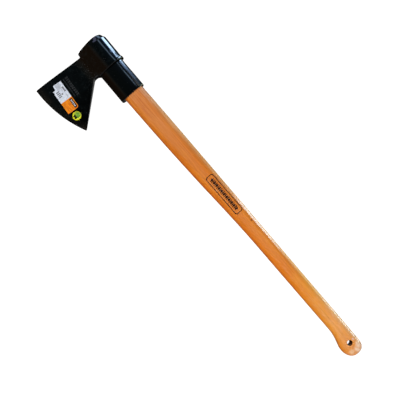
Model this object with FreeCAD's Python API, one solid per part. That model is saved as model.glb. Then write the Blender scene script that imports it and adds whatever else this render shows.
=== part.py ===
"""Felling axe, 900 mm long, lying on its side with one cheek of the blade facing up.

The axe is drawn on construction axes first: x runs along the handle from the top of the
eye (x = 0) to the end of the knob, y runs from the cutting edge (-) to the poll (+) with
0 on the middle of the handle, and z = 0 is the plane that splits the blade. to_row_frame
then moves every piece so that the origin is the centre of the bottom of the whole axe.
All lengths are in millimetres.
"""
import FreeCAD, Part
import math
import os

V = FreeCAD.Vector

# Whole axe
AXE_LENGTH = 900.0
POLL_Y = 34.0             # the flat back of the head
EDGE_Y = -159.8           # deepest point of the cutting edge

# Eye barrel: the thick part of the head that the handle goes through
BARREL_LENGTH = 70.5      # along the handle
BARREL_THICKNESS = 54.0   # at the crest of the cheeks
CREST_Y = 5.0             # where the cheeks are thickest
CROWN_RADIUS = 45.0       # the cheeks are round about the crest, on the blade's side ...
POLL_POWER = 2.3          # ... and run into the poll as part of an oval (2 is an ellipse)
POLL_FLAT_HALF = 5.5      # half width of the flat along the poll
POLL_POINTS = 7
RIM_BEVEL_LENGTH = 9.5    # bevel round the top of the barrel, along the handle
RIM_BEVEL_POLL = 4.6      # its depth at the poll ...
RIM_BEVEL_CHEEK = 2.0     # ... and on the cheeks
FOOT_BEVEL = 1.0          # small bevel round the bottom of the barrel
# Front of the barrel at its top, x and y: the nose, down to the step above the neck
NOSE = ((0.4, -29.0), (1.4, -33.0), (2.6, -36.2), (4.2, -37.2))

# Neck and blade
NECK_Y = -44.0            # crease between barrel and blade
NECK_HALF = 11.5          # half thickness at the crease
NECK_TOP_X = 10.5         # the neck starts this far below the top of the barrel ...
NECK_TOP_Y = -37.4        # ... under the nose
NECK_FOOT_X = 65.8        # and ends here, above the bottom of the barrel
NECK_FOOT_Y = -32.0       # where its corner meets the barrel
BLADE_TOP = (9.4, -50.0)  # the blade's upper side runs straight from here to the toe ...
BLADE_FOOT = (69.3, -50.0)  # ... and its lower side from here to the heel
TOE_X = 0.0               # upper corner of the cutting edge
HEEL_X = 140.2            # lower corner of the cutting edge
EDGE_RADIUS = 285.0       # curve of the cutting edge, seen square to the cheek
EDGE_CENTRE_X = 19.0
EDGE_HALF = 0.6           # half thickness left at the edge under the paint
MID_BLADE_RADIUS = 231.4  # halfway down the blade, measured from the edge's centre ...
MID_BLADE_HALF = 5.4      # ... and the half thickness there
ROOT_RADIUS = 147.4       # the blade starts here, inside the barrel
ROOT_HALF = 13.2
CHEEK_SECTOR = (-20.0, 60.0)  # turn about the edge's centre: start and size, degrees

# Eye and handle; sections are ovals given as width (y) and thickness (z)
EYE_TOP = (50.5, 33.0)    # its bottom is the first of the handle's stations
OVAL_POWER = 2.7          # 2 is an ellipse, more is squarer
TONGUE_RECESS = 2.0       # the wood stops this far below the top of the eye
# x, belly y, back y, thickness: the handle below the eye, down to the knob
HANDLE_STATIONS = (
    (BARREL_LENGTH, -23.6, 23.9, 28.5),
    (145.0, -23.4, 24.5, 28.5),
    (300.0, -22.6, 24.0, 28.0),
    (390.0, -20.6, 23.2, 27.0),
    (470.0, -17.7, 22.4, 26.0),
    (540.0, -16.1, 21.6, 25.5),
    (660.0, -16.4, 20.8, 25.0),
    (780.0, -16.9, 19.8, 25.0),
    (820.0, -17.0, 19.4, 25.5),
    (832.0, -17.9, 19.2, 26.0),
    (845.0, -20.8, 19.0, 26.5),
    (858.0, -24.6, 18.8, 27.0),
    (868.0, -26.5, 18.6, 27.0),
    (880.0, -26.1, 18.2, 26.0),
    (891.0, -22.4, 16.8, 22.0),
    (897.5, -15.6, 11.8, 15.0),
    (AXE_LENGTH, -7.5, 4.0, 6.0),
)

# Kerf and wedges, at the top of the tongue
KERF_DEPTH = 56.0
WEDGE_TIP_X = 50.0
WEDGE_TOP_HALF = 3.4      # half thickness of the wooden wedge at its head
WEDGE_TIP_HALF = 0.7
STEEL_WEDGE_Y = 3.0
STEEL_WEDGE_TOP_X = 1.2
STEEL_WEDGE_TIP_X = 27.0
STEEL_WEDGE_TOP_HALF = 1.7
STEEL_WEDGE_TIP_HALF = 0.3
STEEL_WEDGE_WIDTH = 21.0  # across the wooden wedge

# Collar: sleeve round the handle under the head
COLLAR_LENGTH = 74.5
COLLAR_TOP = (-30.9, 29.8)    # belly y and back y against the head ...
COLLAR_FOOT = (-32.1, 29.2)   # ... and at its lower rim
COLLAR_THICKNESS = 39.5
COLLAR_RIM = 1.0              # rounding of its lower rim

# Hanging hole through the knob
HANG_HOLE_X = 868.7
HANG_HOLE_Y = -1.5
HANG_HOLE_RADIUS = 6.0

# Paper on the upper cheek
PAPER_THICKNESS = 0.3
LABEL_ORIGIN = (18.5, -103.8)   # corner nearest the poll and the toe
LABEL_LENGTH = 69.8
LABEL_HEIGHT = 28.8
LABEL_TILT = 5.3                # degrees, away from the handle's direction
LABEL_CORNER = 4.5              # the one rounded corner
LABEL_CORNER_STEPS = 4
# Torn end, along and across the label from its origin
LABEL_TEAR = ((10.3, LABEL_HEIGHT), (9.2, 26.0), (11.4, 20.8), (6.2, 20.4), (2.8, 21.8), (-0.6, 20.0))
STICKER_CENTRE = (99.6, -126.9)
STICKER_RADIUS = 10.6

OVAL_POINTS = 28


def to_row_frame(shape):
    """Move from construction axes to the row frame: origin at the centre of the bottom."""
    middle_y = (POLL_Y + EDGE_Y) / 2
    return shape.translated(V(-AXE_LENGTH / 2, -middle_y, BARREL_THICKNESS / 2))


def prism_z(points, low, high):
    """Straight-sided solid on an x, y outline, from z = low to z = high."""
    corners = [V(x, y, low) for x, y in points]
    wire = Part.makePolygon(corners + corners[:1])
    return Part.Face(wire).extrude(V(0, 0, high - low))


# ---- Handle, eye and wedges ----

def oval_wire(x, belly_y, back_y, thickness):
    """Flat-cheeked oval section square to the handle."""
    centre_y = (belly_y + back_y) / 2
    half_width = (back_y - belly_y) / 2
    points = []
    for i in range(OVAL_POINTS):
        angle = 2 * math.pi * i / OVAL_POINTS
        c, s = math.cos(angle), math.sin(angle)
        y = centre_y + half_width * math.copysign(abs(c) ** (2 / OVAL_POWER), c)
        z = thickness / 2 * math.copysign(abs(s) ** (2 / OVAL_POWER), s)
        points.append(V(x, y, z))
    curve = Part.BSplineCurve()
    curve.interpolate(Points=points, PeriodicFlag=True)
    return Part.Wire([curve.toShape()])


def eye_solid():
    """The space inside the eye: an oval that widens towards the top."""
    top_width, top_thickness = EYE_TOP
    _, belly_y, back_y, bottom_thickness = HANDLE_STATIONS[0]
    middle_y = (belly_y + back_y) / 2
    top = oval_wire(0, middle_y - top_width / 2, middle_y + top_width / 2, top_thickness)
    bottom = oval_wire(BARREL_LENGTH, belly_y, back_y, bottom_thickness)
    return Part.makeLoft([top, bottom], True, True)


def handle_body():
    """The handle below the eye, lofted through its stations."""
    return Part.makeLoft([oval_wire(*station) for station in HANDLE_STATIONS], True, False)


def slab_y(outline_xz, half_width):
    """Slab on an x, z outline that runs right across the eye in y."""
    corners = [V(x, -half_width, z) for x, z in outline_xz]
    wire = Part.makePolygon(corners + corners[:1])
    return Part.Face(wire).extrude(V(0, 2 * half_width, 0))


def make_kerf():
    """Saw cut in the tongue, opened by the wedge, with a little spare below its tip."""
    outline = [(0, WEDGE_TOP_HALF), (WEDGE_TIP_X, WEDGE_TIP_HALF), (KERF_DEPTH, WEDGE_TIP_HALF),
               (KERF_DEPTH, -WEDGE_TIP_HALF), (WEDGE_TIP_X, -WEDGE_TIP_HALF), (0, -WEDGE_TOP_HALF)]
    return slab_y(outline, EYE_TOP[0])


def make_eye_wedge(eye, steel_wedge):
    """Hardwood wedge that fills the kerf, as wide as the eye."""
    outline = [(0, WEDGE_TOP_HALF), (WEDGE_TIP_X, WEDGE_TIP_HALF),
               (WEDGE_TIP_X, -WEDGE_TIP_HALF), (0, -WEDGE_TOP_HALF)]
    wedge = slab_y(outline, EYE_TOP[0]).common(eye)
    return wedge.cut(recess_box()).cut(steel_wedge)


def make_steel_wedge():
    """Steel wedge driven across the wooden one."""
    outline = [(STEEL_WEDGE_TOP_X, STEEL_WEDGE_Y + STEEL_WEDGE_TOP_HALF),
               (STEEL_WEDGE_TIP_X, STEEL_WEDGE_Y + STEEL_WEDGE_TIP_HALF),
               (STEEL_WEDGE_TIP_X, STEEL_WEDGE_Y - STEEL_WEDGE_TIP_HALF),
               (STEEL_WEDGE_TOP_X, STEEL_WEDGE_Y - STEEL_WEDGE_TOP_HALF)]
    return prism_z(outline, -STEEL_WEDGE_WIDTH / 2, STEEL_WEDGE_WIDTH / 2)


def recess_box():
    """The empty top of the eye, above the end of the wood."""
    reach = EYE_TOP[0]
    return Part.makeBox(TONGUE_RECESS, 2 * reach, 2 * reach, V(0, -reach, -reach))


def make_handle(eye, steel_wedge):
    """Tongue through the eye, shaft, flared knob and hanging hole in one piece of wood."""
    tongue = eye.cut(recess_box()).cut(make_kerf())
    handle = handle_body().fuse(tongue)
    hole = Part.makeCylinder(HANG_HOLE_RADIUS, 2 * BARREL_THICKNESS,
                             V(HANG_HOLE_X, HANG_HOLE_Y, -BARREL_THICKNESS), V(0, 0, 1))
    return handle.cut(hole).cut(steel_wedge)


# ---- Head ----

def barrel_wire(x, poll_inset, cheek_inset):
    """Wedge-shaped section of the barrel; the insets pull in the poll and the cheeks."""
    half = BARREL_THICKNESS / 2 - cheek_inset
    crown_z = half - CROWN_RADIUS

    # the straight slope from the crease meets the crown at a tangent
    dy, dz = CREST_Y - NECK_Y, crown_z - NECK_HALF
    reach = math.hypot(dy, dz)
    slope = math.asin(CROWN_RADIUS / reach) + math.atan2(dz, dy)
    run = math.sqrt(reach ** 2 - CROWN_RADIUS ** 2)
    slope_end = V(x, NECK_Y + run * math.cos(slope), NECK_HALF + run * math.sin(slope))
    half_way_y = (slope_end.y + CREST_Y) / 2
    half_way = V(x, half_way_y, crown_z + math.sqrt(CROWN_RADIUS ** 2 - (half_way_y - CREST_Y) ** 2))

    # from the crest an oval runs down to the flat on the poll
    poll_y = POLL_Y - poll_inset
    flat_share = math.sqrt((POLL_FLAT_HALF / half) ** POLL_POWER)
    depth = (poll_y - CREST_Y) / (1 - flat_share ** 2) ** (1 / POLL_POWER)
    last_angle = math.asin(flat_share)
    oval = []
    for i in range(POLL_POINTS):
        angle = math.pi / 2 + (last_angle - math.pi / 2) * i / (POLL_POINTS - 1)
        oval.append(V(x, CREST_Y + depth * math.cos(angle) ** (2 / POLL_POWER),
                      half * math.sin(angle) ** (2 / POLL_POWER)))
    neck = V(x, NECK_Y, NECK_HALF)

    def mirrored(p):
        return V(p.x, p.y, -p.z)

    def oval_edge(points):
        curve = Part.BSplineCurve()
        curve.interpolate(points)
        return curve.toShape()

    upper = [Part.makeLine(neck, slope_end), Part.Arc(slope_end, half_way, oval[0]).toShape(),
             oval_edge(oval)]
    poll = Part.makeLine(oval[-1], mirrored(oval[-1]))
    lower = [oval_edge([mirrored(p) for p in reversed(oval)]),
             Part.Arc(mirrored(oval[0]), mirrored(half_way), mirrored(slope_end)).toShape(),
             Part.makeLine(mirrored(slope_end), mirrored(neck))]
    front = Part.makeLine(mirrored(neck), neck)
    return Part.Wire(upper + [poll] + lower + [front])


def make_barrel():
    """Barrel with its bevelled top rim. Its front is cut back to the nose above the neck,
    and to the corner under the neck."""
    sections = [barrel_wire(0, RIM_BEVEL_POLL, RIM_BEVEL_CHEEK),
                barrel_wire(RIM_BEVEL_LENGTH, 0, 0),
                barrel_wire(BARREL_LENGTH - FOOT_BEVEL, 0, 0),
                barrel_wire(BARREL_LENGTH, FOOT_BEVEL, FOOT_BEVEL)]
    barrel = Part.makeLoft(sections, True, True)
    spare = BARREL_THICKNESS
    nose = [(-spare, NOSE[0][1])] + list(NOSE) + [(NECK_TOP_X, NECK_TOP_Y), (NECK_TOP_X, -spare),
                                                  (-spare, -spare)]
    foot = [(NECK_FOOT_X, -spare), (NECK_FOOT_X, NECK_FOOT_Y), (2 * spare, NECK_FOOT_Y), (2 * spare, -spare)]
    for outline in (nose, foot):
        barrel = barrel.cut(prism_z(outline, -spare, spare))
    return barrel


def edge_y(x):
    """The cutting edge: an arc about a centre behind the poll."""
    centre_y = EDGE_Y + EDGE_RADIUS
    return centre_y - math.sqrt(EDGE_RADIUS ** 2 - (x - EDGE_CENTRE_X) ** 2)


def cheek_solid(proud):
    """Both cheeks of the blade, turned about the centre of the edge's curve, so that the
    blade thins evenly towards the whole curved edge. proud thickens each cheek."""
    centre_y = EDGE_Y + EDGE_RADIUS
    profile = [(ROOT_RADIUS, ROOT_HALF), (MID_BLADE_RADIUS, MID_BLADE_HALF), (EDGE_RADIUS, EDGE_HALF)]

    def on_cheek(radius, z):
        return V(EDGE_CENTRE_X, centre_y - radius, z)

    top = [on_cheek(r, h + proud) for r, h in profile]
    bottom = [on_cheek(r, -h - proud) for r, h in profile]
    wire = Part.Wire([Part.Arc(*top).toShape(),
                      Part.makeLine(top[-1], bottom[-1]),
                      Part.Arc(*reversed(bottom)).toShape(),
                      Part.makeLine(bottom[0], top[0])])
    start, sector = CHEEK_SECTOR
    axis_point = V(EDGE_CENTRE_X, centre_y, 0)
    face = Part.Face(wire)
    face.rotate(axis_point, V(0, 0, 1), start)
    return face.revolve(axis_point, V(0, 0, 1), sector)


def blade_outline():
    """Outline of neck and blade, square to the cheek, with the curved edge as an arc."""
    inside_y = NOSE[0][1]
    toe = V(TOE_X, edge_y(TOE_X), 0)
    belly = V((TOE_X + HEEL_X) / 2, edge_y((TOE_X + HEEL_X) / 2), 0)
    heel = V(HEEL_X, edge_y(HEEL_X), 0)
    straight = [heel, V(*BLADE_FOOT, 0), V(NECK_FOOT_X, NECK_Y, 0), V(NECK_FOOT_X, inside_y, 0),
                V(NECK_TOP_X, inside_y, 0), V(NECK_TOP_X, NECK_Y, 0), V(*BLADE_TOP, 0), toe]
    sides = [Part.makeLine(p, q) for p, q in zip(straight, straight[1:])]
    return Part.Wire([Part.Arc(toe, belly, heel).toShape()] + sides)


def make_blade():
    """Neck and blade, cut out of the turned cheeks by the outline."""
    face = Part.Face(blade_outline())
    face.translate(V(0, 0, -BARREL_THICKNESS))
    return cheek_solid(0).common(face.extrude(V(0, 0, 2 * BARREL_THICKNESS)))


def make_head(eye):
    """Barrel and blade forged in one, with the eye right through."""
    return make_barrel().fuse(make_blade()).removeSplitter().cut(eye)


# ---- Collar and paper ----

def make_collar(handle_shape):
    """Sleeve round the handle; its lower rim is rounded."""
    end_x = BARREL_LENGTH + COLLAR_LENGTH
    belly_y, back_y = COLLAR_FOOT
    sleeve = Part.makeLoft([oval_wire(BARREL_LENGTH, *COLLAR_TOP, COLLAR_THICKNESS),
                            oval_wire(end_x - COLLAR_RIM, belly_y, back_y, COLLAR_THICKNESS),
                            oval_wire(end_x, belly_y + COLLAR_RIM, back_y - COLLAR_RIM,
                                      COLLAR_THICKNESS - 2 * COLLAR_RIM)], True, True)
    return sleeve.cut(handle_shape)


def on_upper_cheek(outline_solid):
    """Thin skin of paper on the upper cheek, inside an upright outline solid."""
    skin = cheek_solid(PAPER_THICKNESS).cut(cheek_solid(0))
    return skin.common(outline_solid)


def label_outline():
    """Rectangle with one rounded corner and one torn corner, in the label's own directions:
    u runs along the label from the torn end, v runs across it towards the cutting edge."""
    r = LABEL_CORNER
    rounded = []
    for i in range(LABEL_CORNER_STEPS + 1):
        angle = math.pi / 2 * (1 - i / LABEL_CORNER_STEPS)
        rounded.append((LABEL_LENGTH - r + r * math.cos(angle), r - r * math.sin(angle)))
    outline = [(0, 0)] + rounded + [(LABEL_LENGTH, LABEL_HEIGHT)] + list(LABEL_TEAR)
    tilt = math.radians(LABEL_TILT)
    x0, y0 = LABEL_ORIGIN
    return [(x0 + u * math.cos(tilt) - v * math.sin(tilt),
             y0 - u * math.sin(tilt) - v * math.cos(tilt)) for u, v in outline]


def make_product_label():
    """Paper label with one end torn."""
    return on_upper_cheek(prism_z(label_outline(), 0, BARREL_THICKNESS))


def make_round_sticker():
    """Small round sticker beside the label."""
    x, y = STICKER_CENTRE
    return on_upper_cheek(Part.makeCylinder(STICKER_RADIUS, BARREL_THICKNESS, V(x, y, 0), V(0, 0, 1)))


def main():
    os.makedirs("parts", exist_ok=True)
    eye = eye_solid()
    steel_wedge = make_steel_wedge()
    handle = make_handle(eye, steel_wedge)
    pieces = {
        "axe_head": make_head(eye),
        "handle": handle,
        "eye_wedge": make_eye_wedge(eye, steel_wedge),
        "steel_wedge": steel_wedge,
        "collar": make_collar(handle_body()),
        "product_label": make_product_label(),
        "round_sticker": make_round_sticker(),
    }
    for name, shape in pieces.items():
        placed = to_row_frame(shape)
        box = placed.optimalBoundingBox()
        print(name, "solids", len(placed.Solids), "valid", placed.isValid(),
              "volume_cm3", round(placed.Volume / 1000, 2),
              "box", [round(n, 2) for n in (box.XMin, box.YMin, box.ZMin, box.XMax, box.YMax, box.ZMax)])
        placed.exportStep(f"parts/{name}.step")


main()
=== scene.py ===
"""Looks of a felling axe lying on its side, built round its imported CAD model.

Shapes are worked out in millimetres on the axe's own axes: x runs along the handle from the
top of the eye, y from the cutting edge (-) to the poll (+) with 0 on the middle of the handle,
and z up from the plane that splits the blade. to_row() turns them into metres in the row frame.
"""
import math

import bmesh
import bpy
import numpy as np
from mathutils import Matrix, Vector, noise


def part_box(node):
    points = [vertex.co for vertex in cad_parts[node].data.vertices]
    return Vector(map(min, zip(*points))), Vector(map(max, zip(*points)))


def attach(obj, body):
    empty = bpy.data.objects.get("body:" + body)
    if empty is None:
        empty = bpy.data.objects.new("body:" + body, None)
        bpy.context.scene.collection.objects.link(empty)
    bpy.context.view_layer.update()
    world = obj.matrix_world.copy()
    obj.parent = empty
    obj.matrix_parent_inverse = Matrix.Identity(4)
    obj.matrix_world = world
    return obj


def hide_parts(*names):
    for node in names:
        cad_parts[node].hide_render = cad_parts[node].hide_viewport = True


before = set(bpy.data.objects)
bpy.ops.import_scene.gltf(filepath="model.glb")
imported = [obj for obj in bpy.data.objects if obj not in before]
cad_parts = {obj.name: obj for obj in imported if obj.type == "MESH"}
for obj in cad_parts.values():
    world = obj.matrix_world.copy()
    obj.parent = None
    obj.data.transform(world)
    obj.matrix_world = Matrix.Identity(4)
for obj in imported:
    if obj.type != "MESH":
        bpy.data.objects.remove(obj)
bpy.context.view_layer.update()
scene = bpy.context.scene
MM = 0.001

# ---- Sizes, mm: the large ones come from the CAD nodes ----
head_low, head_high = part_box("axe_head")
collar_low, collar_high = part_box("collar")
handle_low, handle_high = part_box("handle")

POLL_Y = 34.0
ORIGIN = Vector((head_low.x, head_high.y - POLL_Y * MM, (head_low.z + head_high.z) / 2))
BARREL_LENGTH = (collar_low.x - head_low.x) / MM
BARREL_HALF = (head_high.z - head_low.z) / 2 / MM
EDGE_Y = (head_low.y - ORIGIN.y) / MM
AXE_LENGTH = (handle_high.x - head_low.x) / MM
COLLAR_END = (collar_high.x - head_low.x) / MM
COLLAR_HALF = (collar_high.z - collar_low.z) / 2 / MM
COLLAR_BELLY = (collar_low.y - ORIGIN.y) / MM
COLLAR_BACK = (collar_high.y - ORIGIN.y) / MM
COLLAR_BELLY_RISE, COLLAR_BACK_FALL = 1.2, 0.6  # how much nearer the handle the two ends are
TONGUE_TOP = (handle_low.x - head_low.x) / MM

CREST_Y = 5.0
CROWN_RADIUS = 45.0
POLL_POWER = 2.3
POLL_FLAT_HALF = 5.5
NECK_Y = -44.0
NECK_HALF = 11.5
TOE_X, HEEL_X = -0.6, 139.7
TOE_BLUNT, HEEL_BLUNT = 0.6, 1.3
TOE_BOW = 0.75  # the blade's upper side is a little hollow
EDGE_RADIUS = 285.0
EDGE_CENTRE_X = 19.0
EDGE_CENTRE_Y = EDGE_Y + EDGE_RADIUS
EDGE_HALF, EDGE_ROUNDING = 0.6, 0.9  # half thickness of the painted edge, and its rounding
BLADE_TAPER, BLADE_HOLLOW = 0.0883, 2.4e-5  # how fast the blade's half thickness grows inward
BLADE_TOP_Y = -50.0  # from here to the edge the blade's rows are bowed like the edge
RIM_BEVEL_LENGTH = 10.5  # bevel round the top of the barrel, along the handle
NECK_BLEND = 4.0  # the slopes run into the blade's cheeks over about this much
WALL_ROLL, NECK_ROLL = 1.1, 1.6  # rounding of the skin's two ends, and more of it at the neck
SLOPE_SWELL = 0.25  # the slopes above and below the neck are a little round
EYE_TOP = (50.5, 33.0)
EYE_BOTTOM = (47.5, 28.5)
EYE_MIDDLE_Y = 0.15
OVAL_POWER = 2.7

# x, belly y, back y, thickness of the handle
HANDLE_STATIONS = np.array([
    (TONGUE_TOP, EYE_MIDDLE_Y - 26.2, EYE_MIDDLE_Y + 26.2, 32.8), (BARREL_LENGTH, -23.6, 23.9, 28.5),
    (145.0, -23.4, 24.4, 28.5), (300.0, -22.6, 24.0, 28.0), (390.0, -20.6, 23.2, 27.0),
    (470.0, -17.7, 22.4, 26.0), (540.0, -16.1, 21.6, 25.5), (660.0, -16.4, 20.8, 25.0),
    (780.0, -16.8, 19.8, 25.0), (815.0, -16.9, 19.5, 25.4), (826.0, -17.1, 19.3, 25.8),
    (836.0, -18.4, 19.2, 26.2), (846.0, -20.7, 19.0, 26.6), (856.0, -23.5, 18.8, 27.0),
    (864.0, -25.9, 18.7, 27.0), (872.0, -26.7, 18.6, 27.0), (AXE_LENGTH + 20, -26.7, 18.5, 27.0),
])
KNOB_END = AXE_LENGTH + 1.4
KNOB_TIP_Y = -3.0
HANG_HOLE = (868.7, -1.7)  # on the upper cheek
HANG_HOLE_RADIUS = 6.0
HANG_HOLE_LEAN = 2.8  # the hole's lower end is this much nearer the belly


def to_row(points):
    """Axe axes in mm to the row frame in metres."""
    return np.asarray(points, float) * MM + np.array(ORIGIN)


def smooth_step(low, high, value):
    t = np.clip((value - low) / (high - low), 0, 1)
    return t * t * (3 - 2 * t)


def smooth_max(a, b, width):
    """The larger of a and b, rounded where they cross."""
    near = np.maximum(width - np.abs(a - b), 0) / width
    return np.maximum(a, b) + near * near * width / 4


def smooth_curve(xs, ys, x):
    """Smooth curve through the points (xs, ys), read at x."""
    slopes = np.gradient(ys, xs)
    i = np.clip(np.searchsorted(xs, x) - 1, 0, len(xs) - 2)
    step = xs[i + 1] - xs[i]
    t = (x - xs[i]) / step
    return ((2 * t ** 3 - 3 * t ** 2 + 1) * ys[i] + (t ** 3 - 2 * t ** 2 + t) * step * slopes[i]
            + (3 * t ** 2 - 2 * t ** 3) * ys[i + 1] + (t ** 3 - t ** 2) * step * slopes[i + 1])


def ripple(point, size, seed):
    """Smooth unevenness between about -1 and 1, size in mm."""
    return noise.noise(Vector(point) / size + Vector((seed, 0, 0)))


# ---- Mesh helpers ----

def new_object(name, data):
    made = bpy.data.objects.new(name, data)
    scene.collection.objects.link(made)
    return made


def new_mesh(name, points, faces):
    """Mesh from points in mm."""
    mesh = bpy.data.meshes.new(name)
    mesh.from_pydata([tuple(p) for p in to_row(points)], [], faces)
    return mesh


def make_piece(name, points, faces, material, replaces=(), uvs=None):
    """New piece from points in mm, with smooth shading; it rides on the one body."""
    mesh = new_mesh(name, points, faces)
    mesh.validate()
    if uvs is not None:
        layer = mesh.uv_layers.new(name="print")
        for loop in mesh.loops:
            layer.data[loop.index].uv = uvs[loop.vertex_index]
    piece = new_object(name, mesh)
    finish_piece(piece, material, replaces)
    return piece


def edit_mesh(mesh, change):
    edited = bmesh.new()
    edited.from_mesh(mesh)
    change(edited)
    edited.to_mesh(mesh)
    edited.free()


def turn_faces_outward(mesh):
    edit_mesh(mesh, lambda edited: bmesh.ops.recalc_face_normals(edited, faces=edited.faces))


def finish_piece(piece, material, replaces=()):
    turn_faces_outward(piece.data)
    piece.data.shade_smooth()
    piece.data.materials.append(material)
    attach(piece, "root")
    if replaces:
        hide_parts(*replaces)


def grid_faces(rows, columns, closed=False):
    """Quads of a grid of points stored row by row."""
    faces = []
    for j in range(rows if closed else rows - 1):
        here, there = j * columns, (j + 1) % rows * columns
        faces += [(here + i, here + i + 1, there + i + 1, there + i) for i in range(columns - 1)]
    return faces


def ring_faces(rings, around, closed=False):
    """Quads of a tube of rings, each of around points."""
    faces = []
    for j in range(rings if closed else rings - 1):
        here, there = j * around, (j + 1) % rings * around
        for i in range(around):
            k = (i + 1) % around
            faces.append((here + i, here + k, there + k, there + i))
    return faces


def capped_faces(rings, around):
    """A tube of rings, closed at both ends."""
    end = rings * around
    return ring_faces(rings, around) + [tuple(range(around)), tuple(range(end - around, end))[::-1]]


def circle(radius, count):
    angles = [2 * math.pi * i / count for i in range(count)]
    return [(radius * math.cos(angle), radius * math.sin(angle)) for angle in angles]


def oval(half_width, half_thickness, count):
    """Flat-cheeked oval, as y and z about its own centre."""
    angle = np.linspace(0, 2 * np.pi, count, endpoint=False)
    c, s = np.cos(angle), np.sin(angle)
    return (half_width * np.sign(c) * np.abs(c) ** (2 / OVAL_POWER),
            half_thickness * np.sign(s) * np.abs(s) ** (2 / OVAL_POWER))


# ---- Shape of the head ----

def edge_y(x):
    return EDGE_CENTRE_Y - np.sqrt(EDGE_RADIUS ** 2 - (x - EDGE_CENTRE_X) ** 2)


def cheek_half(x, y):
    """Half thickness of the blade, which thins evenly towards its curved edge."""
    inward = np.maximum(EDGE_RADIUS - np.hypot(x - EDGE_CENTRE_X, y - EDGE_CENTRE_Y), 0)
    flat = EDGE_HALF + BLADE_TAPER * inward + BLADE_HOLLOW * inward ** 2
    rounding = np.clip(inward / EDGE_ROUNDING, 0, 1)
    return flat * np.sqrt(rounding * (2 - rounding))


def barrel_slope():
    """Angle of the slope from the crease to the crown, and the y where it meets the crown."""
    dy, dz = CREST_Y - NECK_Y, BARREL_HALF - CROWN_RADIUS - NECK_HALF
    reach = math.hypot(dy, dz)
    angle = math.asin(CROWN_RADIUS / reach) + math.atan2(dz, dy)
    return angle, NECK_Y + math.sqrt(reach ** 2 - CROWN_RADIUS ** 2) * math.cos(angle)


SLOPE, SLOPE_END_Y = barrel_slope()


def barrel_half(y):
    """Half thickness of the barrel on the blade's side of its crest."""
    from_crest = np.clip(CREST_Y - y, 0, CROWN_RADIUS)
    crown = BARREL_HALF - CROWN_RADIUS + np.sqrt(CROWN_RADIUS ** 2 - from_crest ** 2)
    share = np.clip((y - NECK_Y) / (SLOPE_END_Y - NECK_Y), 0, 1)
    slope = NECK_HALF + (y - NECK_Y) * math.tan(SLOPE) + SLOPE_SWELL * np.sin(np.pi * share)
    return np.where(y > SLOPE_END_Y, crown, slope)


def barrel_end(y):
    """The slightly domed top of the barrel."""
    return -1.35 + 1.2 * ((y - 4) / 28) ** 2


def left_limit(y):
    """Top of the barrel, its nose, the small step under the nose and the top of the blade."""
    ys = [-50.0, -44.0, -39.0, -37.8, -37.5, -37.3, -37.0, -36.3, -35.0, -33.0, -30.0, -28.0]
    xs = [9.4, 10.3, 10.6, 10.4, 9.5, 5.5, 4.2, 2.8, 2.1, 1.45, 0.8, float(barrel_end(-28.0))]
    return np.where(y > -28, barrel_end(y), np.interp(y, ys, xs))


def right_limit(y):
    """Bottom of the barrel and the side of the neck."""
    ys = [-50.0, -48.0, -46.0, -43.5, -40.0, -36.0, -33.5, -31.5, -30.2]
    xs = [69.25, 67.4, 66.2, 65.7, 65.6, 65.9, 66.8, 68.6, BARREL_LENGTH]
    return np.interp(y, ys, xs)


def rim_bevel(from_left, y):
    """How far the bevel round the top of the barrel takes the skin in; at the poll it is
    deepest, and ends in a low step."""
    depth = (0.8 * smooth_step(-37.5, -34, y) + 1.2 * smooth_step(-34, -10, y)
             + 1.5 * smooth_step(12, 32, y))
    step = 1.3 * smooth_step(18, 32, y) * (1 - smooth_step(7.5, RIM_BEVEL_LENGTH, from_left))
    return depth * smooth_max(1 - from_left / RIM_BEVEL_LENGTH, 0, 0.10) + step


def poll_line(x):
    """The poll falls away slightly towards the handle, and ends in a low lip."""
    return 0.4 - 1.3 * np.clip((x - 10) / 54, 0, 1) + 1.7 * smooth_step(64.6, 66.2, x)


def head_rows():
    """Rows of the upper half of the head's skin, from the middle of the poll to the edge:
    part of the head, y or share of the way down the blade, half thickness where it is fixed,
    and the direction in which bevels take the skin in."""
    rows = []
    flat_share = math.sqrt((POLL_FLAT_HALF / BARREL_HALF) ** POLL_POWER)
    depth = (POLL_Y - CREST_Y) / (1 - flat_share ** 2) ** (1 / POLL_POWER)
    section = [(POLL_Y, 0.0), (POLL_Y, 2.5), (POLL_Y, 4.8)]
    for angle in np.linspace(math.asin(flat_share), math.pi / 2, 26):
        section.append((CREST_Y + depth * max(math.cos(angle), 0) ** (2 / POLL_POWER),
                        BARREL_HALF * math.sin(angle) ** (2 / POLL_POWER)))
    section += [(y, float(barrel_half(y))) for y in np.linspace(CREST_Y, -26, 20)[1:]]
    for k, (y, z) in enumerate(section):
        before, after = section[max(k - 1, 0)], section[min(k + 1, len(section) - 1)]
        along = Vector((after[0] - before[0], after[1] - before[1])).normalized()
        inward = (-along.y, along.x) if k else (-1.0, 0.0)
        rows.append(("barrel", y, z, inward))
    steps = [np.linspace(-27, -35.5, 9), np.arange(-36, -38.6, -0.25), np.linspace(-39.2, -49.2, 14)]
    down = (0.0, -1.0)
    rows += [("neck", y, None, down) for y in np.concatenate(steps)]
    rows += [("blade", share, None, down) for share in 1 - (1 - np.linspace(0, 1, 62)) ** 1.25]
    rows[-1:-1] = [("blade", 1 - to_edge / 108, None, down) for to_edge in (0.6, 0.3, 0.1)]
    return rows


# Distances in mm from a row's two ends at which it has columns of points
LEFT_STEPS = np.array([0, 0.12, 0.4, 0.8, 1.4, 2.4, 3.6, 5, 6.5, 8, 9.2, 10, 10.6, 11.3, 12.5])
RIGHT_STEPS = np.array([8, 6.9, 6.3, 5.7, 5.1, 4.4, 3.0, 2.0, 1.4, 0.9, 0.5, 0.15, 0])
MIDDLE_COLUMNS = 44


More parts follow.
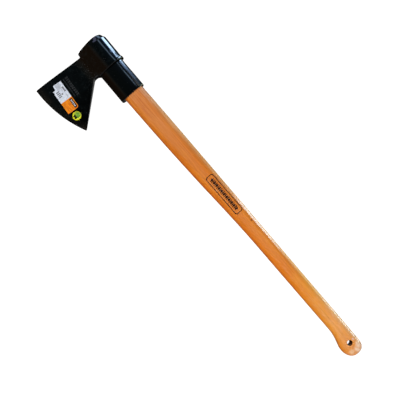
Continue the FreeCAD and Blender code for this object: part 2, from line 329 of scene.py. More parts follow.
def row_columns(left, right):
    """x of each column of a row: fine steps at both ends, even steps between."""
    squeeze = min(1.0, (right - left) / 40)
    start, end = left + LEFT_STEPS * squeeze, right - RIGHT_STEPS * squeeze
    return np.concatenate([start, np.linspace(start[-1], end[0], MIDDLE_COLUMNS + 2)[1:-1], end])


def head_row_points(row):
    """Points of one row of the head's upper skin."""
    kind, place, z, inward = row
    if kind == "blade":
        top_left, top_right = left_limit(BLADE_TOP_Y), right_limit(BLADE_TOP_Y)
        left_y = BLADE_TOP_Y + (edge_y(TOE_X) - BLADE_TOP_Y) * place
        right_y = BLADE_TOP_Y + (edge_y(HEEL_X) - BLADE_TOP_Y) * place
        left = top_left + (TOE_X - top_left) * place - TOE_BOW * 6.75 * place ** 2 * (1 - place)
        left += TOE_BLUNT * smooth_step(0.975, 1, place)
        right = top_right + (HEEL_X - top_right) * place - HEEL_BLUNT * smooth_step(0.965, 1, place)
        x = row_columns(left, right)
        share = (x - left) / (right - left)
        edge_x = TOE_X + (HEEL_X - TOE_X) * share
        straight = edge_y(TOE_X) + (edge_y(HEEL_X) - edge_y(TOE_X)) * share
        y = left_y + (right_y - left_y) * share + place * (edge_y(edge_x) - straight)
    else:
        left, right = float(left_limit(place)), float(right_limit(place))
        x = row_columns(left, right)
        y = np.full(len(x), place)
    if kind == "barrel" and place > SLOPE_END_Y:
        half = np.full(len(x), z)
    else:
        half = smooth_max(barrel_half(y), cheek_half(x, y), NECK_BLEND)
    from_left, from_right = x - left, right - x
    edge_roll = np.zeros(len(x))
    neck_roll = NECK_ROLL * np.exp(-((y + 38) / 4) ** 2)
    for away, size in ((from_left, WALL_ROLL), (from_right, WALL_ROLL + neck_roll)):
        roll = np.minimum(size, 0.6 * half)
        near = np.clip(1 - away / np.maximum(roll, 1e-6), 0, 1)
        edge_roll += roll * (1 - np.sqrt(1 - near * near))
    inset = rim_bevel(from_left, y) + edge_roll
    points = np.stack([x, y + inward[0] * inset, half + inward[1] * inset], 1)
    points[:, 1] += poll_line(x) * smooth_step(14, 32, y)
    if kind == "blade" and place == 1:
        points[:, 2] = 0
    points[:, 2] = np.maximum(points[:, 2], 0)
    return points


def forge_marks(points):
    """Slight unevenness of forged steel under paint, mm."""
    moved = points.copy()
    for p in moved:
        rim = (1 - smooth_step(7, RIM_BEVEL_LENGTH + 1, p[0])) * smooth_step(-30, -22, p[1])
        depth = 0.10 * ripple(p, 22, 3) + 0.03 * ripple(p, 7, 9) + 0.6 * rim * ripple(p, 7, 52)
        p[2] += depth * smooth_step(0.8, 6, abs(p[2])) * (1 if p[2] > 0 else -1)
        p[1] += 0.12 * ripple(p, 25, 14) * smooth_step(20, 32, p[1])
    return moved


AROUND = 96  # points round an oval


def eye_rings():
    """Rings of the eye's wall, which widens upwards and is softly broken at both ends."""
    rings = []
    for x, grow in ((0.0, 1.1), (0.2, 0.55), (0.7, 0.15), (1.6, 0.0), (20, 0.0),
                    (BARREL_LENGTH - 0.6, 0.0), (BARREL_LENGTH, 0.3)):
        share = x / BARREL_LENGTH
        width, thickness = (top + (bottom - top) * share for top, bottom in zip(EYE_TOP, EYE_BOTTOM))
        y, z = oval(width / 2 + grow, thickness / 2 + grow, AROUND)
        top_x = x + barrel_end(y) * (1 - smooth_step(1.6, 3, x))
        rings.append(np.stack([top_x, y + EYE_MIDDLE_Y, z], 1))
    return rings


def build_head(material):
    """One closed skin: the outside as a ring of rows, walls along the blade's two ends,
    and the eye's wall, bridged to the ends of the barrel."""
    rows = head_rows()
    upper = [forge_marks(head_row_points(row)) for row in rows]
    upper[0][:, 2] = 0
    columns = len(upper[0])
    last = len(rows) - 1
    lower = [points * (1, 1, -1) for points in upper[last - 1:0:-1]]
    points = np.concatenate(upper + lower)
    ring = len(upper) + len(lower)
    faces = grid_faces(ring, columns, closed=True)
    nose = next(j for j, row in enumerate(rows) if row[0] == "neck" and row[1] <= -33)

    def at(row, column):
        return (row % ring) * columns + column

    for column in (0, columns - 1):
        for j in range(nose, last - 1):
            faces.append((at(j, column), at(j + 1, column), at(-j - 1, column), at(-j, column)))
        faces.append((at(last - 1, column), at(last, column), at(1 - last, column)))

    mesh = bmesh.new()
    verts = [mesh.verts.new(p) for p in to_row(points)]
    for face in faces:
        mesh.faces.new([verts[i] for i in face])

    eye = eye_rings()
    wall = [mesh.verts.new(p) for p in to_row(np.concatenate(eye))]
    for face in ring_faces(len(eye), AROUND):
        mesh.faces.new([wall[i] for i in face])

    def edge_between(a, b):
        return mesh.edges.get((a, b)) or mesh.edges.new((a, b))

    for column, rim in ((0, wall[:AROUND]), (columns - 1, wall[-AROUND:])):
        outline = [verts[at(j, column)] for j in range(-nose, nose + 1)]
        loops = [edge_between(a, b) for a, b in zip(outline, outline[1:] + outline[:1])]
        loops += [edge_between(a, b) for a, b in zip(rim, rim[1:] + rim[:1])]
        bmesh.ops.bridge_loops(mesh, edges=loops)
    data = bpy.data.meshes.new("axe_head_skin")
    mesh.to_mesh(data)
    mesh.free()
    head = new_object("axe_head_skin", data)
    finish_piece(head, material, ("axe_head",))
    # large flat faces keep their own shading beside small rounded edges
    modifier = head.modifiers.new("weighted_normals", "WEIGHTED_NORMAL")
    modifier.keep_sharp, modifier.weight = True, 80


# ---- Shape of the handle ----

def handle_section(x):
    """Belly y, back y and half thickness at x, rounded off at the end of the knob."""
    xs, *sizes = HANDLE_STATIONS.T
    belly, back, thickness = (smooth_curve(xs, ys, x) for ys in sizes)

    def closing(start, power):
        share = np.clip((x - start) / (KNOB_END - start), 0, 1)
        return (1 - share ** power) ** (1 / power)

    belly = KNOB_TIP_Y + (belly - KNOB_TIP_Y) * closing(868.0, 2.2)
    back = KNOB_TIP_Y + (back - KNOB_TIP_Y) * closing(878.0, 2.4)
    return belly, back, thickness / 2 * closing(878.0, 2.3)


def handle_ring(x, grow=0.0, count=AROUND):
    """Points round the handle at x, grown outward."""
    belly, back, half = (float(v) for v in handle_section(np.array(x)))
    y, z = oval((back - belly) / 2 + grow, half + grow, count)
    return [(x, a, b) for a, b in zip(y + (belly + back) / 2, z)]


def handle_top(x, y):
    """Height of the handle's upper cheek."""
    belly, back, half = handle_section(x)
    across = np.clip(np.abs((y - (belly + back) / 2) / ((back - belly) / 2)), 0, 1)
    return half * (1 - across ** OVAL_POWER) ** (1 / OVAL_POWER)


def cut(piece, cutters):
    """Cuts the shapes of the cutters out of a piece, and removes the cutters."""
    for cutter in cutters:
        modifier = piece.modifiers.new("cut", "BOOLEAN")
        modifier.object = cutter
        modifier.solver = "EXACT"
    bpy.context.view_layer.update()
    result = bpy.data.meshes.new_from_object(piece.evaluated_get(bpy.context.evaluated_depsgraph_get()))
    piece.modifiers.clear()
    piece.data = result
    for cutter in cutters:
        bpy.data.objects.remove(cutter)


def make_cutter(points, faces):
    mesh = new_mesh("cutter", points, faces)
    turn_faces_outward(mesh)
    return new_object("cutter", mesh)


def hole_cutter():
    """Hanging hole with softly broken edges."""
    x0, y0 = HANG_HOLE
    top = float(handle_top(np.array(x0), y0))
    profile = [(-top - 2, 2.9), (-top - 0.1, 1.0), (-top + 0.5, 0.3), (-top + 1.4, 0.0),
               (top - 1.4, 0.0), (top - 0.5, 0.3), (top + 0.1, 1.0), (top + 2, 2.9)]
    around = 64
    points = []
    for z, grow in profile:
        lean = HANG_HOLE_LEAN * (z - top) / (2 * top)
        points += [(x0 + x, y0 + lean + y, z) for x, y in circle(HANG_HOLE_RADIUS + grow, around)]
    return make_cutter(points, capped_faces(len(profile), around))


KERF_LENGTH = 56.0
WEDGE_LENGTH = 50.0  # how far down the kerf the wedge holds it open
WEDGE_TOP, WEDGE_TIP = 3.4, 0.7  # half thickness of the wedge at its two ends


def kerf_cutter():
    """Saw kerf in the tongue, spread by the wedge."""
    half = WEDGE_TOP + 0.05
    outline = [(-1, half), (WEDGE_LENGTH, WEDGE_TIP), (KERF_LENGTH, WEDGE_TIP),
               (KERF_LENGTH, -WEDGE_TIP), (WEDGE_LENGTH, -WEDGE_TIP), (-1, -half)]
    points = [(x, y, z) for y in (-40, 40) for x, z in outline]
    return make_cutter(points, capped_faces(2, len(outline)))


def build_handle(material):
    """One piece of wood from the top of its tongue to the end of the knob."""
    tongue = np.array([TONGUE_TOP, TONGUE_TOP + 0.3, TONGUE_TOP + 1, 20, 50, BARREL_LENGTH])
    shaft = np.arange(76, 800, 6.0)
    knob = np.arange(800, 876, 2.0)
    end = KNOB_END - 24 * np.cos(np.linspace(0, math.pi / 2, 22)) ** 1.6
    stations = np.concatenate([tongue, shaft, knob, end[1:-1], [KNOB_END - 0.01]])
    points = []
    for station in stations:
        soft = 0.012 * smooth_step(150, 200, station)
        for x, y, z in handle_ring(station):
            lift = soft * ripple((x / 5, y, z), 26, 5)
            up = lift * np.sign(z) * smooth_step(0, 6, abs(z))
            points.append((x, y + lift * np.sign(y) * 0.5, z + up))
    handle = make_piece("handle_wood", points, capped_faces(len(stations), AROUND), material,
                        ("handle",))
    cut(handle, [hole_cutter(), kerf_cutter()])
    handle.data.shade_smooth()
    handle.data.set_sharp_from_angle(angle=math.radians(50))


# ---- Collar, print and paper ----

def build_collar(material):
    """Sleeve with a narrow rounded lower rim; inside the rim it runs back up to the wood."""
    start, end = BARREL_LENGTH, COLLAR_END
    outside = [(start + 0.25, 1.0), (start + 0.4, 0.5), (start + 0.9, 0.15), (start + 1.8, 0.0)]
    outside += [(x, 0.0) for x in np.linspace(start + 4, end - 3, 18)]
    outside += [(end - 1.3, 0.0), (end - 0.7, 0.1), (end - 0.3, 0.35), (end - 0.08, 0.75),
                (end, 1.2), (end, 2.6)]
    around = 128
    points = []
    for x, inset in outside:
        share = (x - start) / (end - start)
        belly = COLLAR_BELLY + COLLAR_BELLY_RISE * (1 - share)
        back = COLLAR_BACK - COLLAR_BACK_FALL * share
        half_width = (back - belly) / 2
        y, z = oval(half_width - inset, COLLAR_HALF - inset, around)
        for py, pz in zip(y, z):
            p = (x, py + (belly + back) / 2, pz)
            swell = 0.06 * ripple(p, 34, 21) + 0.02 * ripple(p, 12, 30)
            fade = smooth_step(0, 5, x - start) * smooth_step(0, 4, end - x)
            out = Vector((0, py / half_width ** 2, pz / COLLAR_HALF ** 2)).normalized() * swell * fade
            points.append((p[0], p[1] + out.y, p[2] + out.z))
    for x, grow in ((end - 0.3, 0.55), (end - 1.0, 0.15), (end - 4, 0.02), (start + 0.25, 0.02)):
        points += handle_ring(x, grow, around)
    faces = ring_faces(len(points) // around, around, closed=True)
    make_piece("collar_sleeve", points, faces, material, ("collar",))


def skin_on(surface, plan_rows, thickness):
    """Closed thin skin: plan_rows are rows of x, y; surface gives z there."""
    rows, columns = len(plan_rows), len(plan_rows[0])
    flat = np.array([p for row in plan_rows for p in row])
    low = surface(flat[:, 0], flat[:, 1])
    top = np.column_stack([flat, low + thickness])
    bottom = np.column_stack([flat, low - thickness / 2])
    faces = grid_faces(rows, columns)
    n = rows * columns
    under = [tuple(n + i for i in reversed(face)) for face in faces]
    rim = [*range(columns), *range(2 * columns - 1, n, columns)]
    rim += [*range(n - 2, n - columns - 1, -1), *range(n - 2 * columns, 0, -columns)]
    sides = [(a, b, n + b, n + a) for a, b in zip(rim, rim[1:] + rim[:1])]
    return np.concatenate([top, bottom]), faces + under + sides


LABEL_ORIGIN = (19.3, -103.7)
LABEL_LENGTH = 69.1
LABEL_HEIGHT = 28.6
LABEL_CORNER = 4.5
LABEL_TILT = math.radians(5.3)
PRINT_SCALE = 100.0  # mm along and across the label for 1 in its UV layer
STICKER_CENTRE = (100.0, -127.0)
STICKER_RADII = (9.6, 10.0)
PAPER = 0.12  # thickness of the paper, and of the glue under it


def label_plan(u, v):
    """Along and across the label, mm, to x and y on the axe."""
    x0, y0 = LABEL_ORIGIN
    return (x0 + u * math.cos(LABEL_TILT) - v * math.sin(LABEL_TILT),
            y0 - u * math.sin(LABEL_TILT) - v * math.cos(LABEL_TILT))


def build_label(material):
    """Paper label: one rounded corner, and a torn end whose edge lifts a little."""
    v_steps = np.concatenate([np.linspace(0, 5, 9), np.linspace(6, 19.5, 14),
                              np.linspace(20, LABEL_HEIGHT, 34)])
    torn_v = [0, 8, 14, 20.2, 20.7, 21.1, 21.6, 22.4, 24, 26, 28.6]
    torn_u = [0, -0.1, -0.3, -0.5, 1.5, 6.0, 9.6, 10.4, 10.3, 9.9, 10.2]
    plan_rows, uv = [], []
    for v in v_steps:
        left = np.interp(v, torn_v, torn_u) + 0.2 * ripple((v, 0, 0), 1.1, 40)
        dip = max(LABEL_CORNER - v, 0)
        right = LABEL_LENGTH - LABEL_CORNER + math.sqrt(max(LABEL_CORNER ** 2 - dip ** 2, 0))
        share = np.concatenate([[0, 0.004, 0.012, 0.025], np.linspace(0.04, 1, 60)])
        us = left + (right - left) * share
        nick = 1.3 * smooth_step(24, LABEL_HEIGHT, v)
        row = [(u, v - nick * math.exp(-((u - 14.2) / 2.4) ** 2)) for u in us]
        plan_rows.append([label_plan(u, w) for u, w in row])
        uv += [(u, w, u - left) for u, w in row]
    uv = np.array(uv)

    def surface(x, y):
        torn_lift = 0.45 * np.exp(-uv[:, 2] / 1.6) * smooth_step(19, 23, uv[:, 1])
        end_lift = 0.22 * np.exp(-uv[:, 2] / 1.2)
        crease = 0.05 * np.array([ripple((a, b, 0), 6, 44) for a, b in uv[:, :2]])
        return cheek_half(x, y) + PAPER + torn_lift + end_lift + crease

    points, faces = skin_on(surface, plan_rows, PAPER)
    prints = [(a / PRINT_SCALE, b / PRINT_SCALE) for a, b in uv[:, :2]] * 2
    make_piece("label_paper", points, faces, material, ("product_label",), prints)


def build_sticker(material):
    """Round sticker, as rings of points about its centre."""
    x0, y0 = STICKER_CENTRE
    around, rings = 72, 9
    plan_rows, uv = [], []
    for r in np.linspace(0.02, 1, rings):
        ring = circle(r, around)
        ring.append(ring[0])
        plan_rows.append([(x0 + STICKER_RADII[0] * x, y0 + STICKER_RADII[1] * y) for x, y in ring])
        uv += [(0.5 + x / 2, 0.5 + y / 2) for x, y in ring]

    points, faces = skin_on(lambda x, y: cheek_half(x, y) + PAPER, plan_rows, PAPER)
    sticker = make_piece("round_sticker_paper", points, faces, material, ("round_sticker",),
                         uv * 2)
    edit_mesh(sticker.data, lambda edited: bmesh.ops.remove_doubles(edited, verts=edited.verts, dist=1e-5))


PRINT_CENTRE = (443.05, 4.45)
PRINT_SIZE = (104.7, 20.3)
PRINT_CORNER = 5.0
PRINT_LINE = 1.7  # width of the frame's line, from both sides of the print
PRINT_COUNT = 21  # lozenges and bars, taking turns
PRINT_PITCH, PRINT_HEIGHT = 4.1, 10.2
LOZENGE_HALF, LOZENGE_TIP, BAR_HALF = 2.9, 0.2, 1.0
INK_LIFT, INK = 0.03, 0.05  # height above the wood, and thickness


def rounded_rectangle(size, radius, per_corner=8):
    """Outline about its own centre."""
    outline = []
    for k, (side_x, side_y) in enumerate(((1, 1), (-1, 1), (-1, -1), (1, -1))):
        cx, cy = side_x * (size[0] / 2 - radius), side_y * (size[1] / 2 - radius)
        for angle in np.linspace(0, math.pi / 2, per_corner) + k * math.pi / 2:
            outline.append((cx + radius * math.cos(angle), cy + radius * math.sin(angle)))
    return outline


def even_steps(outline, step):
    """The same closed outline with points about every step mm."""
    result = []
    for a, b in zip(outline, outline[1:] + outline[:1]):
        pieces = max(1, int(math.dist(a, b) / step))
        result += [tuple(p + (q - p) * t / pieces for p, q in zip(a, b)) for t in range(pieces)]
    return result


def build_print(material):
    """Plain printed ornament on the handle: a rounded frame round a row of lozenges and bars.
    All of it is a skin of ink on the wood."""
    cx, cy = PRINT_CENTRE
    points, faces = [], []

    def add_skin(plan_rows):
        new_points, new_faces = skin_on(lambda x, y: handle_top(x, y) + INK_LIFT, plan_rows, INK)
        first = len(points)
        points.extend(new_points.tolist())
        faces.extend(tuple(first + i for i in face) for face in new_faces)

    outer = even_steps(rounded_rectangle(PRINT_SIZE, PRINT_CORNER), 2.0)
    frame_rows = []
    for share in (0, 0.5, 1):
        sx, sy = (1 - 2 * PRINT_LINE * share / size for size in PRINT_SIZE)
        ring = [(cx + x * sx, cy + y * sy) for x, y in outer]
        frame_rows.append(ring + ring[:1])
    add_skin(frame_rows)
    for n in range(PRINT_COUNT):
        middle = cx + (n - (PRINT_COUNT - 1) / 2) * PRINT_PITCH
        rows = []
        for v in np.linspace(-1, 1, 9):
            half = BAR_HALF if n % 2 else LOZENGE_HALF * (1 - abs(v)) + LOZENGE_TIP
            rows.append([(middle + half * s, cy + v * PRINT_HEIGHT / 2) for s in (-1, 0, 1)])
        add_skin(rows)
    make_piece("handle_ornament", points, faces, material)


# ---- Materials ----

class Nodes:
    """Shader nodes of a material or world. Values are numbers, colours, vectors or sockets."""

    def __init__(self, owner):
        owner.use_nodes = True
        self.tree = owner.node_tree

    def link(self, value, socket):
        if isinstance(value, bpy.types.NodeSocket):
            self.tree.links.new(value, socket)
        else:
            socket.default_value = (*value, 1) if socket.type == "RGBA" else value

    def set(self, name, value):
        """Sets or links one input of the material's own shader."""
        self.link(value, self.tree.nodes["Principled BSDF"].inputs[name])

    def add(self, kind, inputs=None, **settings):
        node = self.tree.nodes.new("ShaderNode" + kind)
        for key, value in settings.items():
            setattr(node, key, value)
        for key, value in (inputs or {}).items():
            self.link(value, node.inputs[key])
        return node

    def maths(self, operation, a, b=0.0):
        return self.add("Math", {0: a, 1: b}, operation=operation).outputs[0]

    def times(self, a, b):
        return self.maths("MULTIPLY", a, b)

    def vector(self, operation, a, b):
        node = self.add("VectorMath", {0: a, 1: b}, operation=operation)
        return node.outputs["Value" if operation in ("DISTANCE", "DOT_PRODUCT") else "Vector"]

    def scaled(self, vector, amount):
        return self.add("VectorMath", {0: vector, "Scale": amount}, operation="SCALE").outputs[0]

    def split(self, vector):
        return self.add("SeparateXYZ", {0: vector}).outputs

    def inside(self, value, low, high):
        """1 where value lies between low and high."""
        return self.times(self.maths("GREATER_THAN", value, low), self.maths("LESS_THAN", value, high))

    def ramp(self, value, stops):
        """Colour ramp; stops are position and colour or grey."""
        node = self.add("ValToRGB", {0: value})
        elements = node.color_ramp.elements
        while len(elements) < len(stops):
            elements.new(0.5)
        for element, (position, colour) in zip(elements, stops):
            element.position = position
            element.color = ((colour,) * 3 if isinstance(colour, (int, float)) else tuple(colour)) + (1,)
        return node.outputs[0]

    def fade(self, value, start, end, low=0.0, high=1.0):
        """Grey that goes from low at start to high at end."""
        return self.ramp(value, [(start, low), (end, high)])

    def mix(self, share, a, b, mode="MIX"):
        """Mixes two colours."""
        node = self.add("Mix", {0: share, 6: a, 7: b}, data_type="RGBA", blend_type=mode)
        return node.outputs[2]

    def layers(self, colour, *layers):
        """Lays colours over one another; each layer is its share and its colour."""
        for share, tint in layers:
            colour = self.mix(share, colour, tint)
        return colour


class Surface(Nodes):
    """Nodes of a new material; axe_mm is the place on the axe in mm."""

    def __init__(self, name):
        self.material = bpy.data.materials.new(name)
        super().__init__(self.material)
        place = self.add("TexCoord").outputs["Object"]
        self.axe_mm = self.scaled(self.vector("SUBTRACT", place, tuple(ORIGIN)), 1 / MM)

    def noise(self, size, detail=3.0, roughness=0.5, distortion=0.0):
        """Noise whose blots are size mm across, or (x, y, z) mm."""
        sizes = size if isinstance(size, tuple) else (size,) * 3
        place = self.vector("MULTIPLY", self.axe_mm, tuple(1 / s for s in sizes))
        return self.add("TexNoise", {"Vector": place, "Scale": 1.0, "Detail": detail,
                                     "Roughness": roughness, "Distortion": distortion}).outputs[0]

    def print_place(self):
        return self.add("UVMap", uv_map="print").outputs[0]

    def bump(self, height, strength, distance_mm, normal=None):
        inputs = {"Height": height, "Strength": strength, "Distance": distance_mm * MM}
        if normal is not None:
            inputs["Normal"] = normal
        return self.add("Bump", inputs).outputs[0]


def label_axes(n):
    """Place along and across the label's direction, in mm from its corner."""
    away = n.vector("SUBTRACT", n.axe_mm, (*LABEL_ORIGIN, 0))
    c, s = math.cos(LABEL_TILT), math.sin(LABEL_TILT)
    return [n.vector("DOT_PRODUCT", away, direction) for direction in ((c, -s, 0), (-s, -c, 0))]


def patch(n, u, v, low_u, high_u, low_v, high_v, pitch=None, share=1.0):
    """1 in a plain box on the label's axes, or on a row of dashes there, in mm; share is the
    part of the pitch that a dash takes."""
    box = n.times(n.inside(v, low_v, high_v), n.inside(u, low_u, high_u))
    if not pitch:
        return box
    return n.times(box, n.maths("LESS_THAN", n.maths("FRACT", n.maths("DIVIDE", u, pitch)), share))


# Faint rows of dashes on the upper cheek, on the label's axes
CHEEK_DASHES = [(0, 49, -17.5, -11.0, 5.4, 3.9 / 5.4), (0, 47, -8.0, -5.4, 2.6, 1.6 / 2.6)]


def painted_steel():
    """Glossy black paint over forged steel: uneven skin, light scratches and flecks, with flecks
    crowded along the neck's crease as painted glints, a brownish and rougher band along the
    edge, and two faint rows of plain dashes above the label, on the upper cheek only."""
    n = Surface("head_paint")
    y, z = n.split(n.axe_mm)[1:]
    broad = n.noise(35, 2)
    fine = n.noise(1.3, 3, 0.6)
    scratches = n.fade(n.noise((9, 0.55, 0.55), 2, 0.6, 0.6), 0.70, 0.74)
    flecks = n.fade(n.noise((1.5, 1.1, 1.3), 2), 0.68, 0.71)
    patches = n.fade(n.noise(16, 2), 0.5, 0.62)
    # flecks crowd along the neck's crease, where they are painted glints; elsewhere they are few
    neck_glint_share = n.ramp(n.maths("DIVIDE", y, EDGE_Y),
                       [(0.0, 0.08), (0.20, 0.15), (0.26, 1.0), (0.31, 1.0), (0.5, 0.08)])
    scratches_and_glints = n.maths("MAXIMUM", n.times(scratches, patches), n.times(flecks, neck_glint_share))
    # a brownish, rougher band along the edge
    radial = n.vector("DISTANCE", n.axe_mm, (EDGE_CENTRE_X, EDGE_CENTRE_Y, 0))
    near_edge = n.fade(n.maths("DIVIDE", radial, EDGE_RADIUS), 0.93, 0.997)
    edge_band = n.times(near_edge, n.fade(broad, 0.35, 0.65, 0.1, 1.0))
    u, v = label_axes(n)
    dashes = n.maths("MAXIMUM", *(patch(n, u, v, *row) for row in CHEEK_DASHES))
    dashes = n.times(dashes, n.maths("GREATER_THAN", z, 0.0))
    rubbed = n.fade(n.noise(2.2, 3, 0.6), 0.35, 0.7, 0.3, 1.0)
    smudge = n.fade(n.noise((9, 13, 9), 3, 0.6), 0.52, 0.72)
    black = n.mix(broad, (0.0004, 0.0006, 0.0007), (0.0012, 0.0014, 0.0014))
    n.set("Base Color", n.layers(
        black,
        (n.times(smudge, 0.5), (0.006, 0.009, 0.010)),
        (n.times(edge_band, 0.5), (0.014, 0.010, 0.006)),
        (n.times(n.times(dashes, rubbed), 0.8), (0.040, 0.044, 0.047)),
        (n.times(scratches_and_glints, 0.4), (0.2, 0.21, 0.22))))
    rough = n.maths("ADD", n.times(fine, 0.05), 0.03)
    n.set("Roughness", n.maths("ADD", rough, n.times(edge_band, 0.3)))
    skin = n.bump(n.noise(6, 3, 0.55), 0.12, 0.25)
    n.set("Normal", n.bump(fine, 0.12, 0.05, skin))
    return n.material


def black_sleeve():
    """Smooth glossy black collar."""
    n = Surface("collar_black")
    fine = n.noise(1.6, 2)
    n.set("Base Color", n.mix(n.noise(24, 2), (0.0006, 0.0007, 0.0007), (0.0014, 0.0014, 0.0013)))
    n.set("Roughness", n.maths("ADD", n.times(fine, 0.06), 0.05))
    skin = n.bump(n.noise((14, 7, 7), 2), 0.15, 0.3)
    n.set("Normal", n.bump(fine, 0.12, 0.03, skin))
    return n.material


# Base colour of the wood along the axe, by its share of the length
WOOD_BASE = [(0.16, (0.64, 0.208, 0.044)), (0.22, (0.65, 0.205, 0.034)), (0.41, (0.68, 0.188, 0.009)),
             (0.71, (0.76, 0.205, 0.010)), (0.81, (0.83, 0.285, 0.018)), (0.91, (0.92, 0.42, 0.105)),
             (0.965, (0.86, 0.34, 0.075))]
# Small marks on the upper cheek; the large pale ones at the knob's end are a painted sheen: x, y and
# radius in mm, strength, colour
WOOD_MARKS_AND_SHEEN = [(525.0, 12.6, 2.2, 0.75, (0.16, 0.03, 0.004)), (427.0, -4.0, 1.6, 0.8, (0.85, 0.50, 0.28)),
              (427.0, 0.5, 1.2, 0.6, (0.85, 0.50, 0.28)), (867.0, 9.0, 2.6, 0.7, (0.86, 0.58, 0.50)),
              (890.0, 4.0, 8.0, 0.75, (0.98, 0.74, 0.54)), (887.0, -11.0, 5.5, 0.55, (0.92, 0.66, 0.42)),
              (882.0, 11.0, 6.0, 0.65, (0.98, 0.74, 0.54)), (869.0, -5.0, 1.0, 0.3, (0.3, 0.06, 0.03))]
SHEEN_SPOT_RADIUS = 4.0  # spots larger than this are clouded; they are the painted sheen at the knob's end
# Towards the belly the colour is darker and richer, partly a richer lacquer and partly painted shade;
# towards the back it is paler and bluer, partly duller lacquer and partly a painted sheen: distance in
# mm from the belly's or the back's edge, and what the colour there is multiplied by
EDGE_TINT_REACH = 30.0
BELLY_LACQUER_AND_SHADE_TINTS = [(0.0, (0.73, 0.52, 0.11)), (3.8, (0.89, 0.73, 0.31)), (7.2, (0.96, 0.87, 0.62)),
               (11.0, (1.0, 1.0, 1.0))]
BACK_LACQUER_AND_SHEEN_TINTS = [(0.0, (0.90, 1.08, 1.7)), (6.5, (0.93, 1.12, 1.8)), (10.0, (0.95, 1.03, 1.35)),
              (14.0, (1.0, 1.0, 1.0))]
HOLE_SHADE_BELOW = 12.6  # the hanging hole's wall is painted in shade below this height


